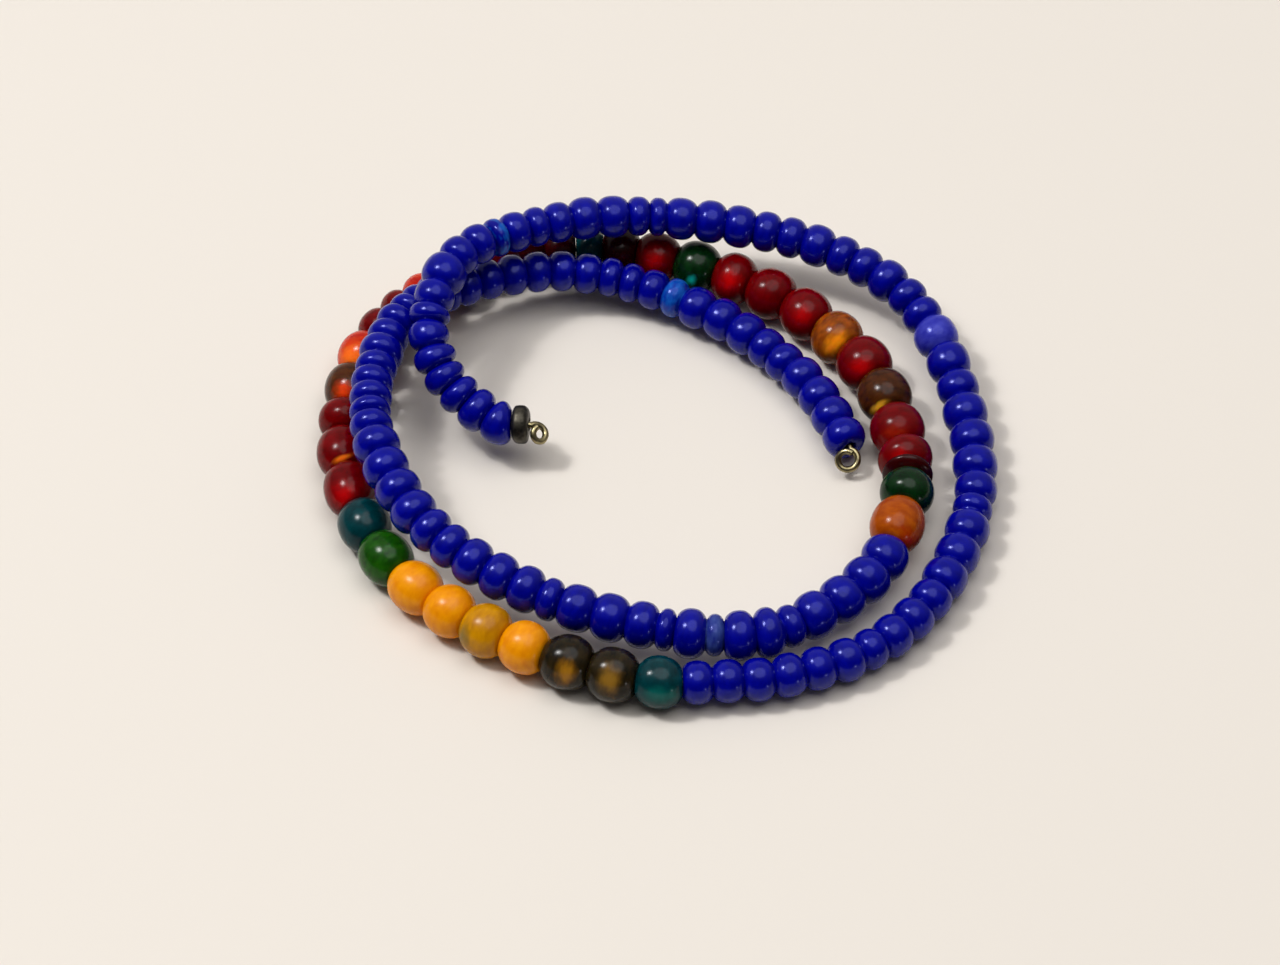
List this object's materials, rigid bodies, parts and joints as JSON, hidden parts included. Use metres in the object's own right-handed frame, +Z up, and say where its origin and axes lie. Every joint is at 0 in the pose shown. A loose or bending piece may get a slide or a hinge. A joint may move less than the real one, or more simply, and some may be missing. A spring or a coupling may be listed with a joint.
{
  "type": "coiled glass bead bracelet",
  "caption": "Open coiled bracelet of blue, red, brown, green and yellow glass beads on a springy steel wire with a turned loop at each end, lying flat.",
  "frame": {"origin": "under the middle of the coil, on the surface that it lies on", "axes": "+Z up, +X to the right and +Y away from the viewer, with the free end of the wire inside the coil on the left"},
  "size_m": [0.0682, 0.0636, 0.013],
  "materials": {
    "spring_steel": "drawn, slightly dulled",
    "dark_metal": "darkened, worn",
    "blue_glass": "opaque, glossy",
    "orange_glass": "opaque, glossy",
    "orange_red_glass": "cloudy, glossy",
    "yellow_glass": "cloudy, glossy",
    "mustard_glass": "cloudy, glossy",
    "green_glass": "deep coloured, glossy",
    "dark_green_glass": "deep coloured, glossy",
    "teal_glass": "deep coloured, glossy",
    "ruby_glass": "deep coloured, glossy",
    "maroon_glass": "deep coloured, glossy",
    "amber_glass": "streaked, glossy",
    "tortoise_glass": "streaked, glossy",
    "dark_brown_glass": "streaked, glossy"
  },
  "bodies": {
    "root": {"blue_beads_inner": "blue_glass", "bead_01_orange": "orange_glass", "bead_02_dark_green": "dark_green_glass", "bead_03_maroon": "maroon_glass", "bead_04_ruby": "ruby_glass", "bead_05_ruby": "ruby_glass", "bead_06_tortoise": "tortoise_glass", "bead_07_ruby": "ruby_glass", "bead_08_amber": "amber_glass", "bead_09_ruby": "ruby_glass", "bead_10_ruby": "ruby_glass", "bead_11_ruby": "ruby_glass", "bead_12_dark_green": "dark_green_glass", "bead_13_ruby": "ruby_glass", "bead_14_maroon": "maroon_glass", "bead_15_teal": "teal_glass", "bead_16_maroon": "maroon_glass", "bead_17_maroon": "maroon_glass", "bead_18_ruby": "ruby_glass", "bead_19_tortoise": "tortoise_glass", "bead_20_orange_red": "orange_red_glass", "bead_21_ruby": "ruby_glass", "bead_22_ruby": "ruby_glass", "bead_23_orange_red": "orange_red_glass", "bead_24_tortoise": "tortoise_glass", "bead_25_ruby": "ruby_glass", "bead_26_ruby": "ruby_glass", "bead_27_ruby": "ruby_glass", "bead_28_teal": "teal_glass", "bead_29_green": "green_glass", "bead_30_yellow": "yellow_glass", "bead_31_yellow": "yellow_glass", "bead_32_mustard": "mustard_glass", "bead_33_yellow": "yellow_glass", "bead_34_dark_brown": "dark_brown_glass", "bead_35_dark_brown": "dark_brown_glass", "bead_36_teal": "teal_glass", "blue_beads_outer": "blue_glass", "end_spacer": "dark_metal", "memory_wire": "spring_steel"}
  },
  "joints": []
}
